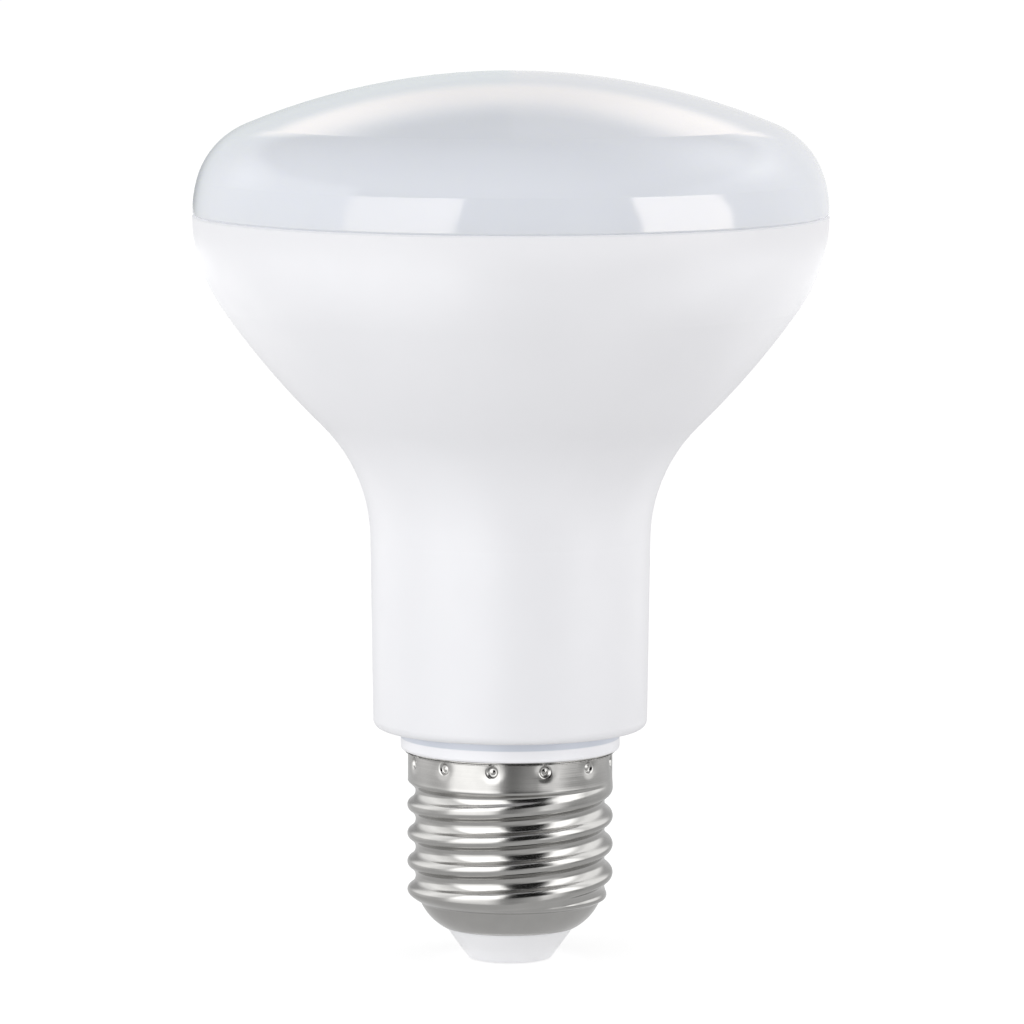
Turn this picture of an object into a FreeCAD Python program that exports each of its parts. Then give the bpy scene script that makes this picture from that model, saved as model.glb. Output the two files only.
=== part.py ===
"""Reflector lamp, 80 mm across, with a screw cap.

The lamp stands on its centre contact with the light-giving face up. All
sizes are in millimetres. +Z runs from the cap to the dome, and the origin is
the middle of the centre contact's outer face.
"""
import FreeCAD, Part
import math
import os

V = FreeCAD.Vector
AXIS = V(0, 0, 1)
ORIGIN = V(0, 0, 0)
TOLERANCE = 0.01

# Overall form
body_radius = 40.0
cap_height = 22.65
collar_height = 2.72
body_height = 65.0
cover_height = 17.9
seam_edge_radius = 0.25
cut_overrun = 1.0

# Bell, throat and neck of the housing
bell_radius = 20.6
bell_angle = math.radians(35.0)
flare_angle = math.radians(45.6)
throat_radius = 20.5
neck_top_radius = 17.68
neck_draft = math.radians(0.84)
foot_edge_radius = 1.1
housing_wall = 1.5
floor_thickness = 1.5

# Opal cover
cover_side_radius = 16.65
cover_shoulder_radius = 10.3
cover_crown_radius = 86.7
cover_wall = 1.8
lip_wall = 1.3
lip_root = 1.5
lip_clearance = 0.15
lip_foot_clearance = 0.1

# Glue groove
glue_depth = 0.6
glue_height = 1.4
glue_below_seam = 1.0

# Metal liner and mounting plate
liner_wall = 0.8
liner_clearance = 0.15
liner_flange_width = 4.0
plate_below_seam = 4.0
plate_thickness = 1.5
plate_clearance = 0.3
wire_hole_radius = 4.0

# Light board
pad_thickness = 0.2
pad_margin = 0.5
board_radius = 28.0
led_board_thickness = 1.0
led_width = 2.8
led_length = 3.5
led_height = 0.7
outer_led_count = 14
outer_led_ring = 23.4
inner_led_count = 7
inner_led_ring = 13.0

# Screws of the light board
screw_count = 3
screw_ring = 18.0
screw_radius = 1.25
screw_length = 4.2
screw_head_radius = 2.3
screw_head_height = 1.5
screw_recess_depth = 0.8
screw_recess_width = 0.6
screw_recess_arm = 3.0
screw_head_round = 0.65
screw_hole_clearance = 0.3
thread_hole_clearance = 0.05

# Plug on the light board
plug_width = 5.0
plug_breadth = 6.0
plug_height = 3.0
plug_gap = 1.5
plug_entry_depth = 2.0

# Inner sleeve, which shows as the collar
collar_radius = 13.87
collar_edge_radius = 0.4
collar_clearance = 0.13
flange_clearance = 0.3
flange_thickness = 1.5
sleeve_radius = 14.2
sleeve_wall = 1.2
sleeve_height = 40.0
seat_height = 1.5
spigot_wall = 1.1
spigot_clearance = 0.2
spigot_foot_gap = 2.6
crimp_groove_height = 2.2

# Screw cap
sheet = 0.35
band_radius = 12.95
thread_radius = 13.02
thread_depth = 1.09
thread_lead = 3.629
root_flat = 1.24
flank_slope = 1.9
band_height = 3.55
groove_rise = 5.27
groove_foot_gap = 0.65
upper_runout = 1.9
lower_runout = 1.3
shoulder_height = 1.45
shoulder_edge_radial = 0.3
shoulder_edge_axial = 0.35
inner_shoulder_drop = 0.6
groove_overrun = 0.6
band_blend = 0.5
bowl_top_radius = 11.33
bowl_height = 3.15
bowl_arc_radius = 6.0
lip_radius = 8.2
lip_hole_radius = 7.2

# Crimp dimples
dimple_count = 12
dimple_below_rim = 1.3
dimple_ball_radius = 1.0
dimple_depth = 0.45
dimple_turn = math.radians(20.0)

# Insulator and centre contact
insulator_height = 4.05
insulator_foot_radius = 5.3
insulator_edge_radius = 0.45
insulator_flange_clearance = 0.3
insulator_flange_height = 1.4
contact_proud = 0.15
contact_radius = 3.0
contact_thickness = 0.8
contact_edge = 0.15
shank_radius = 1.2
shank_stand = 1.0

# Driver board
board_thickness = 1.2
board_offset = 3.0
board_clearance = 0.2
board_foot_gap = 1.6
board_below_sleeve = 2.0
first_part_gap = 3.0

# Parts on the driver board
lead_radius = 0.3
lead_reach = 1.2
lead_spacing = 3.5
input_can_radius = 4.0
input_can_length = 10.5
output_can_radius = 4.0
output_can_length = 9.0
can_rim = 0.4
resistor_radius = 1.6
resistor_length = 7.0
choke_radius = 4.0
choke_height = 8.5
choke_flange = 1.0
choke_winding_inset = 0.7
choke_core_radius = 1.8
film_width = 9.0
film_depth = 8.5
film_thickness = 5.0
core_width = 13.0
core_height = 13.0
core_depth = 6.0
core_leg = 3.8
core_yoke = 1.9
core_outer_leg = 1.6
bobbin_wall = 0.6
bobbin_clearance = 0.1
bobbin_flange = 0.7
bobbin_flange_depth = 11.8
winding_margin = 0.25
part_gap = 1.5
side_gap = 0.5
choke_aside = 6.2
rectifier_size = (4.7, 2.0, 3.9)
rectifier_lift = 4.0
chip_size = (3.9, 1.5, 4.9)
chip_lift = 2.0
diode_size = (2.6, 2.1, 4.3)

# Wires
wire_radius = 0.6
wire_bend = 1.5
wire_tip_gap = 0.1
wire_slack = 0.6
joint_length = 3.0
live_wire_inset = 2.6
live_wire_rise = 2.6
neutral_wire_aside = 6.0
led_wire_spacing = 2.0
led_wire_joint = 7.0
led_wire_lead = 2.0
led_wire_gather = 12.0
led_wire_in_hole = 1.0
led_wire_places = (4.0, 8.0)

# Heights worked out from the sizes above
shell_lip_z = contact_proud + insulator_height
shell_rim_z = shell_lip_z + cap_height
housing_foot_z = shell_rim_z + collar_height
seam_z = housing_foot_z + body_height
top_z = seam_z + cover_height
floor_z = housing_foot_z + floor_thickness
plate_z = seam_z - plate_below_seam
plate_top_z = plate_z + plate_thickness
led_board_z = plate_top_z + pad_thickness
led_board_top_z = led_board_z + led_board_thickness
root_radius = thread_radius - thread_depth
bowl_top_z = shell_lip_z + bowl_height
groove_end_z = shell_rim_z - band_height
groove_top_z = groove_end_z - upper_runout
groove_foot_z = bowl_top_z + groove_foot_gap
groove_start_z = groove_foot_z + lower_runout
spigot_foot_z = bowl_top_z + spigot_foot_gap
shoulder_z = floor_z + flange_thickness
sleeve_top_z = floor_z + sleeve_height
shell_lip_top_z = shell_lip_z + sheet
insulator_top_z = shell_lip_top_z + insulator_flange_height
shank_top_z = insulator_top_z + shank_stand


def point(radius, height):
    """A point of an outline in the plane through the axis."""
    return V(radius, 0, height)


def polar(centre, radius, angle):
    """The point at an angle on a circle in the plane of the outline."""
    return centre + V(radius * math.cos(angle), 0, radius * math.sin(angle))


def line(start, end):
    return Part.LineSegment(start, end).toShape()


def arc(centre, radius, start, end):
    """An arc in the plane of the outline, from one angle to another."""
    middle = polar(centre, radius, (start + end) / 2)
    return Part.Arc(polar(centre, radius, start), middle, polar(centre, radius, end)).toShape()


def turned(edges):
    """The solid that a closed outline of edges makes when it turns about the axis."""
    outline = Part.Wire(Part.__sortEdges__(edges))
    return Part.Face(outline).revolve(ORIGIN, AXIS, 360)


def turned_outline(*corners):
    """The same for an outline of straight lines, given as radius and height."""
    points = [point(radius, height) for radius, height in corners]
    return Part.Face(Part.makePolygon(points + points[:1])).revolve(ORIGIN, AXIS, 360)


def ring(inner, outer, low, high):
    return turned_outline((inner, low), (outer, low), (outer, high), (inner, high))


def disc(radius, low, high, x=0.0, y=0.0):
    return Part.makeCylinder(radius, high - low, V(x, y, low))


def block(x_size, y_size, z_size, x, y, z):
    """A box with its middle at x and y, standing on z."""
    return Part.makeBox(x_size, y_size, z_size, V(x - x_size / 2, y - y_size / 2, z))


def around(shape, angle):
    """A copy of a shape, turned about the axis."""
    copy = shape.copy()
    copy.rotate(ORIGIN, AXIS, math.degrees(angle))
    return copy


def wire_along(points, radius, bend):
    """A round wire along straight runs joined by tangent arcs."""
    edges = []
    start = points[0]
    for before, corner, after in zip(points, points[1:], points[2:]):
        inward = (corner - before).normalize()
        outward = (after - corner).normalize()
        half_turn = inward.getAngle(outward) / 2
        reach = bend * math.tan(half_turn)
        middle = (outward - inward).normalize()
        drop = bend / math.cos(half_turn) - bend
        edges.append(line(start, corner - inward * reach))
        arc_start = corner - inward * reach
        arc_end = corner + outward * reach
        edges.append(Part.Arc(arc_start, corner + middle * drop, arc_end).toShape())
        start = arc_end
    edges.append(line(start, points[-1]))
    direction = (points[1] - points[0]).normalize()
    section = Part.Wire(Part.makeCircle(radius, points[0], direction))
    return Part.Wire(edges).makePipeShell([section], True, False)


class Bell:
    """The housing's outline, moved inwards by a distance.

    A round bell arc starts upright at the seam. A flatter arc follows it, and
    a throat arc turns back into the nearly straight neck.
    """

    def __init__(self, inset):
        across = body_radius - neck_top_radius
        bell_part = bell_radius * (1 - math.cos(bell_angle))
        throat_part = throat_radius * (math.cos(neck_draft) - math.cos(flare_angle))
        flare_radius = (across - bell_part - throat_part) / (math.cos(bell_angle) - math.cos(flare_angle))
        self.bell_centre = point(body_radius - bell_radius, seam_z)
        self.flare_centre = polar(self.bell_centre, bell_radius - flare_radius, -bell_angle)
        self.throat_centre = polar(self.flare_centre, flare_radius + throat_radius, -flare_angle)
        self.bell = bell_radius - inset
        self.flare = flare_radius - inset
        self.throat = throat_radius + inset
        self.neck_top = polar(self.throat_centre, self.throat, math.pi - neck_draft)

    def bell_turn(self, height):
        """The angle below level at which the bell arc passes a height."""
        return math.asin((seam_z - height) / self.bell)

    def radius_at(self, height):
        """The radius in the bell arc, near the seam."""
        return polar(self.bell_centre, self.bell, -self.bell_turn(height)).x

    def neck_radius(self, height):
        return self.neck_top.x - (self.neck_top.z - height) * math.tan(neck_draft)

    def downwards(self, start_height, foot):
        """Edges from a height in the bell arc down to a point on the neck."""
        return [
            arc(self.bell_centre, self.bell, -self.bell_turn(start_height), -bell_angle),
            arc(self.flare_centre, self.flare, -bell_angle, -flare_angle),
            arc(self.throat_centre, self.throat, math.pi - flare_angle, math.pi - neck_draft),
            line(self.neck_top, foot),
        ]


outer_bell = Bell(0.0)
inner_bell = Bell(housing_wall)
liner_outside = Bell(housing_wall + liner_clearance)
liner_inside = Bell(housing_wall + liner_clearance + liner_wall)

# Radii where the inner pieces meet
mouth_radius = inner_bell.radius_at(seam_z)
lip_outer_radius = mouth_radius - lip_clearance
glue_radius = mouth_radius + glue_depth
glue_top_z = seam_z - glue_below_seam
lip_foot_z = plate_top_z + lip_foot_clearance
plate_radius = inner_bell.radius_at(plate_z) - plate_clearance
spigot_radius = root_radius - sheet - spigot_clearance
spigot_bore = spigot_radius - spigot_wall
sleeve_bore = sleeve_radius - sleeve_wall
band_bore = band_radius - sheet
upper_spigot_radius = band_bore - spigot_clearance
dimple_z = shell_rim_z - dimple_below_rim
dimple_tip_radius = band_radius - dimple_depth - sheet
seat_top_z = outer_bell.neck_top.z - seat_height
board_face_y = board_offset - board_thickness / 2
board_rear_y = board_offset + board_thickness / 2
board_top_z = sleeve_top_z - board_below_sleeve
board_foot_z = spigot_foot_z + board_foot_gap


def housing():
    """One moulding: bell, throat, neck and the floor that carries the sleeve."""
    edge = foot_edge_radius
    neck_above = outer_bell.neck_top.z - housing_foot_z - edge
    edge_centre = point(
        outer_bell.neck_top.x - (edge + neck_above * math.sin(neck_draft)) / math.cos(neck_draft),
        housing_foot_z + edge,
    )
    neck_foot = polar(edge_centre, edge, -neck_draft)
    hole = collar_radius + collar_clearance
    inner_foot = point(inner_bell.neck_radius(floor_z), floor_z)
    rim_start = seam_z - seam_edge_radius
    outer_start = polar(outer_bell.bell_centre, bell_radius, -outer_bell.bell_turn(rim_start))
    rim_round = point(body_radius - seam_edge_radius, seam_z)
    edges = outer_bell.downwards(rim_start, neck_foot)
    edges.append(arc(edge_centre, edge, -neck_draft, -math.pi / 2))
    edges.append(line(polar(edge_centre, edge, -math.pi / 2), point(hole, housing_foot_z)))
    edges.append(line(point(hole, housing_foot_z), point(hole, floor_z)))
    edges.append(line(point(hole, floor_z), inner_foot))
    edges.extend(reversed(inner_bell.downwards(seam_z, inner_foot)))
    edges.append(line(point(mouth_radius, seam_z), rim_round))
    edges.append(line(rim_round, outer_start))
    body = turned(edges)
    groove = ring(mouth_radius - cut_overrun, glue_radius, glue_top_z - glue_height, glue_top_z)
    return body.cut(groove)


def circles_meet(first, first_radius, second, second_radius):
    """The point farther from the axis where two circles in the outline's plane meet."""
    distance = first.distanceToPoint(second)
    unit = (second - first) / distance
    along = (first_radius ** 2 - second_radius ** 2 + distance ** 2) / (2 * distance)
    aside = V(-unit.z, 0, unit.x) * math.sqrt(first_radius ** 2 - along ** 2)
    middle = first + unit * along
    return max(middle + aside, middle - aside, key=lambda place: place.x)


def cover_edges(inset, start_angle):
    """Side, shoulder and crown arcs of the cover, from its foot to the axis."""
    side = point(body_radius - cover_side_radius, seam_z)
    crown = point(0, top_z - cover_crown_radius)
    side_reach = cover_side_radius - cover_shoulder_radius
    crown_reach = cover_crown_radius - cover_shoulder_radius
    shoulder = circles_meet(side, side_reach, crown, crown_reach)
    side_end = math.atan2(shoulder.z - side.z, shoulder.x - side.x)
    crown_start = math.atan2(shoulder.z - crown.z, shoulder.x - crown.x)
    return [
        arc(side, cover_side_radius - inset, start_angle, side_end),
        arc(shoulder, cover_shoulder_radius - inset, side_end, crown_start),
        arc(crown, cover_crown_radius - inset, crown_start, math.pi / 2),
    ]


def diffuser_cover():
    """The opal dome, with a lip that stands inside the housing's mouth."""
    edge_angle = math.asin(seam_edge_radius / cover_side_radius)
    side = point(body_radius - cover_side_radius, seam_z)
    outer_foot = polar(side, cover_side_radius, edge_angle)
    foot_round = point(body_radius - seam_edge_radius, seam_z)
    inner_foot = point(body_radius - cover_wall, seam_z)
    edges = cover_edges(0.0, edge_angle) + cover_edges(cover_wall, 0.0)
    edges.append(line(point(0, top_z), point(0, top_z - cover_wall)))
    edges.append(line(inner_foot, foot_round))
    edges.append(line(foot_round, outer_foot))
    dome = turned(edges)
    lip_inner = lip_outer_radius - lip_wall
    lip = ring(lip_inner, lip_outer_radius, lip_foot_z, seam_z)
    root = ring(lip_inner, body_radius - cover_wall / 2, seam_z, seam_z + lip_root)
    return dome.fuse([lip, root]).removeSplitter()


def cover_adhesive():
    """The bead of glue that fills the groove round the lip."""
    return ring(lip_outer_radius, glue_radius, glue_top_z - glue_height, glue_top_z)


def heat_sink_liner():
    """Pressed metal liner of the bell, with an in-turned flange at the top."""
    foot_z = seat_top_z
    outer_foot = point(liner_outside.neck_radius(foot_z), foot_z)
    inner_foot = point(liner_inside.neck_radius(foot_z), foot_z)
    outer_top = point(liner_outside.radius_at(plate_z), plate_z)
    flange_inner = outer_top.x - liner_flange_width
    under_z = plate_z - liner_wall
    inner_top = point(liner_inside.radius_at(under_z), under_z)
    edges = liner_outside.downwards(plate_z, outer_foot)
    edges.append(line(outer_foot, inner_foot))
    edges.extend(reversed(liner_inside.downwards(under_z, inner_foot)))
    edges.append(line(inner_top, point(flange_inner, under_z)))
    edges.append(line(point(flange_inner, under_z), point(flange_inner, plate_z)))
    edges.append(line(point(flange_inner, plate_z), outer_top))
    return turned(edges)


def screw_places():
    return [2 * math.pi * (index + 0.5) / screw_count for index in range(screw_count)]


def screw_holes(radius, low, high):
    """Round holes for the board screws, between two heights."""
    hole = disc(radius, low - cut_overrun, high + cut_overrun, screw_ring)
    return [around(hole, angle) for angle in screw_places()]


def mounting_plate():
    """Flat metal plate that closes the liner and carries the light board."""
    plate = ring(wire_hole_radius, plate_radius, plate_z, plate_top_z)
    return plate.cut(screw_holes(screw_radius + thread_hole_clearance, plate_z, plate_top_z))


def thermal_pad():
    pad = ring(wire_hole_radius + pad_margin, board_radius - pad_margin, plate_top_z, led_board_z)
    return pad.cut(screw_holes(screw_radius + screw_hole_clearance, plate_top_z, led_board_z))


def led_board():
    board = ring(wire_hole_radius, board_radius, led_board_z, led_board_top_z)
    return board.cut(screw_holes(screw_radius + screw_hole_clearance, led_board_z, led_board_top_z))


def leds():
    """Two rings of square light packages, one solid each."""
    packages = []
    for count, radius in ((outer_led_count, outer_led_ring), (inner_led_count, inner_led_ring)):
        package = block(led_width, led_length, led_height, radius, 0, led_board_top_z)
        for index in range(count):
            packages.append(around(package, 2 * math.pi * (index + 0.5) / count))
    return Part.makeCompound(packages)


def board_screws():
    """Pan-head screws with a cross recess, one solid each."""
    under_head = led_board_top_z
    shank = disc(screw_radius, under_head - screw_length, under_head, screw_ring)
    head_top = under_head + screw_head_height
    head = disc(screw_head_radius, under_head, head_top, screw_ring)
    rim = [edge for edge in head.Edges if edge.Closed and edge.BoundBox.ZMin > head_top - TOLERANCE]
    head = head.makeFillet(screw_head_round, rim)
    recess_z = head_top - screw_recess_depth
    recess = block(screw_recess_arm, screw_recess_width, screw_head_height, screw_ring, 0, recess_z)
    across = block(screw_recess_width, screw_recess_arm, screw_head_height, screw_ring, 0, recess_z)
    screw = shank.fuse(head).cut([recess, across]).removeSplitter()
    return Part.makeCompound([around(screw, angle) for angle in screw_places()])


def led_plug():
    """Two-pole wire plug on the light board, with an open wire entry."""
    inner_x = wire_hole_radius + plug_gap
    body = block(plug_width, plug_breadth, plug_height, inner_x + plug_width / 2, 0, led_board_top_z)
    entries = []
    for side in (-1, 1):
        mouth = V(inner_x, side * led_wire_spacing / 2, wire_level())
        entries.append(Part.makeCylinder(wire_radius + wire_tip_gap, plug_entry_depth, mouth, V(1, 0, 0)))
    return body.cut(entries)


def wire_level():
    """Height of the two wires where they enter the plug."""
    return led_board_top_z + plug_height / 2


def driver_sleeve():
    """White sleeve round the driver: collar below the housing, spigot in the cap."""
    edge = collar_edge_radius
    collar_foot = point(collar_radius - edge, shell_rim_z)
    edge_centre = point(collar_radius - edge, shell_rim_z + edge)
    flange_radius = inner_bell.neck_radius(floor_z) - flange_clearance
    seat_radius = liner_outside.neck_radius(seat_top_z) - flange_clearance / 2
    seat_foot_z = seat_top_z - seat_height
    pocket_top = dimple_z + crimp_groove_height / 2
    pocket_foot = dimple_z - crimp_groove_height / 2
    pocket_radius = dimple_tip_radius - spigot_clearance
    corners = [
        collar_foot,
        point(upper_spigot_radius, shell_rim_z),
        point(upper_spigot_radius, pocket_top),
        point(pocket_radius, pocket_top),
        point(pocket_radius, pocket_foot),
        point(spigot_radius, pocket_foot),
        point(spigot_radius, spigot_foot_z),
        point(spigot_bore, spigot_foot_z),
        point(spigot_bore, shoulder_z),
        point(sleeve_bore, shoulder_z),
        point(sleeve_bore, sleeve_top_z),
        point(sleeve_radius, sleeve_top_z),
        point(sleeve_radius, seat_top_z),
        point(seat_radius, seat_top_z),
        point(seat_radius, seat_foot_z),
        point(sleeve_radius, seat_foot_z),
        point(sleeve_radius, shoulder_z),
        point(flange_radius, shoulder_z),
        point(flange_radius, floor_z),
        point(collar_radius, floor_z),
        point(collar_radius, shell_rim_z + edge),
    ]
    edges = [line(start, end) for start, end in zip(corners, corners[1:])]
    edges.append(arc(edge_centre, edge, 0.0, -math.pi / 2))
    return turned(edges)


def thread_groove():
    """The helical groove, which runs out at both ends of the thread."""
    outside = thread_radius + groove_overrun
    bottom = root_flat / 2
    mouth = bottom + (outside - root_radius) / flank_slope
    turns = math.ceil((groove_end_z - groove_foot_z) / thread_lead) + 1
    start_z = bowl_top_z + groove_rise - thread_lead * math.ceil(groove_rise / thread_lead)
    corners = [
        point(root_radius, -bottom),
        point(outside, -mouth),
        point(outside, mouth),
        point(root_radius, bottom),
    ]
    section = Part.makePolygon(corners + corners[:1])
    section.translate(V(0, 0, start_z))
    helix = Part.makeLongHelix(thread_lead, thread_lead * turns, root_radius)
    helix.translate(V(0, 0, start_z))
    groove = Part.Wire(helix).makePipeShell([section], True, True)
    over = outside + groove_overrun
    stretch = (over - root_radius) / thread_depth
    upper = Part.makeCone(root_radius, over, upper_runout * stretch, V(0, 0, groove_top_z))
    lower_height = lower_runout * stretch
    lower = Part.makeCone(over, root_radius, lower_height, V(0, 0, groove_start_z - lower_height))
    return groove.cut([upper, lower])


def bowl_centre():
    """Centre of the bowl's arc, which bulges away from the axis."""
    high = point(bowl_top_radius, bowl_top_z)
    low = point(lip_radius, shell_lip_z)
    chord = high - low
    reach = math.sqrt(bowl_arc_radius ** 2 - (chord.Length / 2) ** 2)
    inward = V(-chord.z, 0, chord.x).normalize()
    return (high + low) / 2 + inward * reach


def bowl_angle(height, radius):
    """The angle at which an arc about the bowl's centre passes a height."""
    return math.asin((height - bowl_centre().z) / radius)


def screw_shell():
    """Nickel-plated shell: crimped band, rolled thread and bowl."""
    centre = bowl_centre()
    inner_radius = bowl_arc_radius - sheet
    high_angle = bowl_angle(bowl_top_z, bowl_arc_radius)
    low_angle = bowl_angle(shell_lip_z, bowl_arc_radius)
    inner_low_angle = bowl_angle(shell_lip_top_z, inner_radius)
    crest_z = bowl_top_z + shoulder_height
    bore = root_radius - sheet
    corners = [
        point(bowl_top_radius, bowl_top_z),
        point(thread_radius - shoulder_edge_radial, crest_z - shoulder_edge_axial),
        point(thread_radius, crest_z),
        point(thread_radius, groove_end_z - band_blend),
        point(band_radius, groove_end_z),
        point(band_radius, shell_rim_z),
        point(band_bore, shell_rim_z),
        point(band_bore, groove_end_z),
        point(bore, groove_top_z),
        point(bore, crest_z - inner_shoulder_drop),
        polar(centre, inner_radius, high_angle),
    ]
    lip = [
        polar(centre, inner_radius, inner_low_angle),
        point(lip_hole_radius, shell_lip_top_z),
        point(lip_hole_radius, shell_lip_z),
        point(lip_radius, shell_lip_z),
    ]
    edges = [line(start, end) for start, end in zip(corners, corners[1:])]
    edges.append(arc(centre, inner_radius, high_angle, inner_low_angle))
    edges.extend(line(start, end) for start, end in zip(lip, lip[1:]))
    edges.append(arc(centre, bowl_arc_radius, low_angle, high_angle))
    blank = turned(edges).cut(thread_groove())
    return crimped(blank)


def crimped(shell):
    """The shell with a ring of round dents, each of which bulges inwards."""
    ball = V(band_radius - dimple_depth + dimple_ball_radius, 0, dimple_z)
    dent = Part.makeSphere(dimple_ball_radius, ball)
    bump = Part.makeSphere(dimple_ball_radius + sheet, ball)
    bump = bump.common(disc(band_bore + sheet / 2, dimple_z - dimple_below_rim, shell_rim_z))
    turns = [dimple_turn + 2 * math.pi * index / dimple_count for index in range(dimple_count)]
    shell = shell.fuse([around(bump, angle) for angle in turns])
    return shell.cut([around(dent, angle) for angle in turns])


def cap_insulator():
    """White cone moulded through the shell's hole, with the contact's seat."""
    edge = insulator_edge_radius
    foot_z = contact_proud
    slope = math.atan2(insulator_height, lip_radius - insulator_foot_radius)
    back = edge * math.tan(slope / 2)
    on_cone = point(insulator_foot_radius, foot_z) + V(math.cos(slope), 0, math.sin(slope)) * back
    on_foot = point(insulator_foot_radius - back, foot_z)
    edge_centre = on_foot + V(0, 0, edge)
    inner_arc = bowl_arc_radius - sheet
    bowl_inside = polar(bowl_centre(), inner_arc, bowl_angle(shell_lip_top_z, inner_arc))
    flange_radius = bowl_inside.x - insulator_flange_clearance
    corners = [
        on_cone,
        point(lip_radius, shell_lip_z),
        point(lip_hole_radius, shell_lip_z),
        point(lip_hole_radius, shell_lip_top_z),
        point(flange_radius, shell_lip_top_z),
        point(flange_radius, insulator_top_z),
        point(shank_radius, insulator_top_z),
        point(shank_radius, contact_thickness),
        point(contact_radius, contact_thickness),
        point(contact_radius, foot_z),
        on_foot,
    ]
    edges = [line(start, end) for start, end in zip(corners, corners[1:])]
    edges.append(arc(edge_centre, edge, -math.pi / 2, slope - math.pi / 2))
    return turned(edges)


def centre_contact():
    """Brass contact: a flat head let into the insulator and a shank."""
    head = disc(contact_radius, 0, contact_thickness)
    rim = [edge for edge in head.Edges if edge.Closed and edge.BoundBox.ZMax < TOLERANCE]
    head = head.makeChamfer(contact_edge, rim)
    return head.fuse(disc(shank_radius, contact_thickness, shank_top_z)).removeSplitter()


def half_width(bore, clearance):
    """Half the width of the driver board that fits across a round bore."""
    return math.sqrt((bore - clearance) ** 2 - board_rear_y ** 2)


def driver_board():
    """Upright circuit board, wide in the sleeve and narrow in the cap."""
    tongue = 2 * half_width(spigot_bore, board_clearance)
    wide = 2 * half_width(sleeve_bore, board_clearance)
    low = block(tongue, board_thickness, shoulder_z - board_foot_z, 0, board_offset, board_foot_z)
    high = block(wide, board_thickness, board_top_z - shoulder_z, 0, board_offset, shoulder_z)
    return low.fuse(high).removeSplitter()


def bent_lead(x, y, body_end, level):
    """A lead from the end of a part's body, turned at a level to the board's face."""
    corner = V(x, y, level)
    upright = Part.makeCylinder(lead_radius, abs(body_end - level), V(x, y, min(body_end, level)))
    across = Part.makeCylinder(lead_radius, board_face_y - y, corner, V(0, 1, 0))
    return upright.fuse([across, Part.makeSphere(lead_radius, corner)])


def can(radius, length, x, low):
    """Electrolytic can lying on the board, with both leads at its lower end."""
    y = board_face_y - radius
    body = disc(radius, low, low + length, x, y)
    body = body.makeFillet(can_rim, [edge for edge in body.Edges if edge.Closed])
    places = [x + side * lead_spacing / 2 for side in (-1, 1)]
    leads = [bent_lead(place, y, low, low - lead_reach) for place in places]
    return body.fuse(leads).removeSplitter()


# Levels of the parts on the driver board, from the cap upwards
input_can_z = board_foot_z + first_part_gap
choke_z = shoulder_z + part_gap
core_z = choke_z + 2 * choke_radius + part_gap
output_can_z = core_z + core_height + lead_reach + part_gap


def input_capacitor():
    return can(input_can_radius, input_can_length, 0.0, input_can_z)


def output_capacitor():
    return can(output_can_radius, output_can_length, -output_can_radius - side_gap, output_can_z)


def fuse_resistor():
    """Fusible resistor beside the input capacitor, with a lead at each end."""
    x = -input_can_radius - resistor_radius - side_gap
    y = board_face_y - resistor_radius
    low = input_can_z
    high = low + resistor_length
    leads = [bent_lead(x, y, low, low - lead_reach), bent_lead(x, y, high, high + lead_reach)]
    return disc(resistor_radius, low, high, x, y).fuse(leads).removeSplitter()


def choke_place():
    return V(choke_aside, board_face_y, choke_z + choke_radius)


def choke_core():
    """Ferrite drum with its axis square to the board."""
    place = choke_place()
    back = V(0, -1, 0)
    foot = Part.makeCylinder(choke_radius, choke_flange, place, back)
    head_place = place + back * (choke_height - choke_flange)
    head = Part.makeCylinder(choke_radius, choke_flange, head_place, back)
    core = Part.makeCylinder(choke_core_radius, choke_height, place, back)
    return core.fuse([foot, head]).removeSplitter()


def choke_winding():
    place = choke_place() + V(0, -choke_flange, 0)
    length = choke_height - 2 * choke_flange
    outside = Part.makeCylinder(choke_radius - choke_winding_inset, length, place, V(0, -1, 0))
    return outside.cut(Part.makeCylinder(choke_core_radius, length, place, V(0, -1, 0)))


def film_capacitor():
    """Box capacitor beside the choke."""
    place = choke_place()
    x = place.x - choke_radius - side_gap - film_width / 2
    y = board_face_y - film_depth / 2
    return block(film_width, film_depth, film_thickness, x, y, place.z - film_thickness / 2)


def core_place():
    """Middle of the transformer, whose flanges stand on the board."""
    return V(0, board_face_y - bobbin_flange_depth / 2, core_z + core_height / 2)


def centred(x_size, y_size, z_size, centre):
    """A box about its own middle."""
    return block(x_size, y_size, z_size, centre.x, centre.y, centre.z - z_size / 2)


def window():
    """Width and height of each of the core's two windows."""
    width = (core_width - core_leg) / 2 - core_outer_leg
    return width, core_height - 2 * core_yoke


def transformer_core():
    centre = core_place()
    width, height = window()
    aside = core_leg / 2 + width / 2
    holes = [centred(width, core_depth, height, centre + V(side * aside, 0, 0)) for side in (-1, 1)]
    return centred(core_width, core_depth, core_height, centre).cut(holes)


def transformer_bobbin():
    """Moulded bobbin on the centre leg, with a flange at each end."""
    centre = core_place()
    width, height = window()
    length = height - 2 * bobbin_clearance
    hole_x = core_leg + 2 * bobbin_clearance
    hole_y = core_depth + 2 * bobbin_clearance
    tube = centred(hole_x + 2 * bobbin_wall, hole_y + 2 * bobbin_wall, length, centre)
    flange_x = core_leg + 2 * (width - bobbin_clearance)
    lift = length / 2 - bobbin_flange / 2
    flanges = []
    for side in (-1, 1):
        place = centre + V(0, 0, side * lift)
        flanges.append(centred(flange_x, bobbin_flange_depth, bobbin_flange, place))
    hole = centred(hole_x, hole_y, height, centre)
    return tube.fuse(flanges).cut(hole).removeSplitter()


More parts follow.
